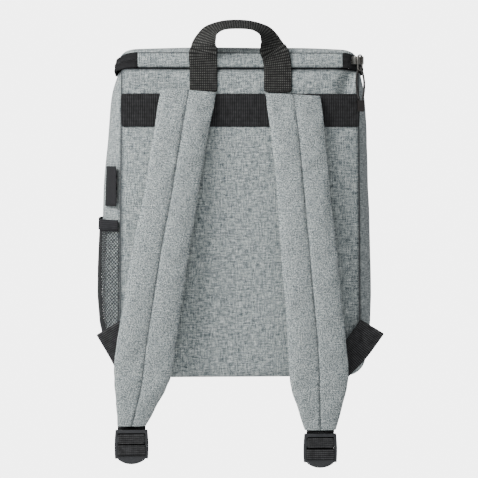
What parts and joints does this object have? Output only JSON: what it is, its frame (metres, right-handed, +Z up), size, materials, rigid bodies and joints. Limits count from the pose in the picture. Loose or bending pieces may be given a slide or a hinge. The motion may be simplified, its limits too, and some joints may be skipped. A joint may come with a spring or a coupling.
{
  "type": "cooler backpack",
  "caption": "Hanging cooler backpack with a padded hollow box, zipped lid, haul handle, padded shoulder straps with ladderlock buckles and a mesh side pocket.",
  "frame": {"origin": "the underside of the haul handle at its highest part, on the bag's middle plane, where a hook or a hand holds the bag", "axes": "+Z up; -Y is the side that lies against the wearer, with the shoulder straps; +X is to the right when that side is looked at"},
  "size_m": [0.3315, 0.2246, 0.5145],
  "materials": {
    "heather_cloth": "woven heather polyester, matt",
    "webbing": "ribbed polypropylene webbing, matt",
    "pocket_net": "knitted polyester net",
    "label_cloth": "woven satin tape, bare",
    "puller_cord": "braided polyester cord",
    "zip_nylon": "woven tape with a nylon coil",
    "moulded_plastic": "moulded acetal, satin",
    "slider_metal": "dark plated zinc, worn bright on the ring"
  },
  "bodies": {
    "root": {"back_panel": "heather_cloth", "front_panel": "heather_cloth", "side_gusset": "heather_cloth", "lid_panel": "heather_cloth", "hinge_strip": "heather_cloth", "zip_tape": "zip_nylon", "zip_coil": "zip_nylon", "zip_slider": "slider_metal", "pull_ring": "slider_metal", "puller_cord": "puller_cord", "puller_end": "moulded_plastic", "haul_handle": "webbing", "back_band": "webbing", "shoulder_strap_left": "heather_cloth", "shoulder_strap_right": "heather_cloth", "strap_loop_left": "webbing", "strap_loop_right": "webbing", "ladderlock_left": "moulded_plastic", "ladderlock_right": "moulded_plastic", "lower_webbing_left": "webbing", "lower_webbing_right": "webbing", "pocket_mesh": "pocket_net", "pocket_binding": "webbing", "side_label": "label_cloth"}
  },
  "joints": []
}
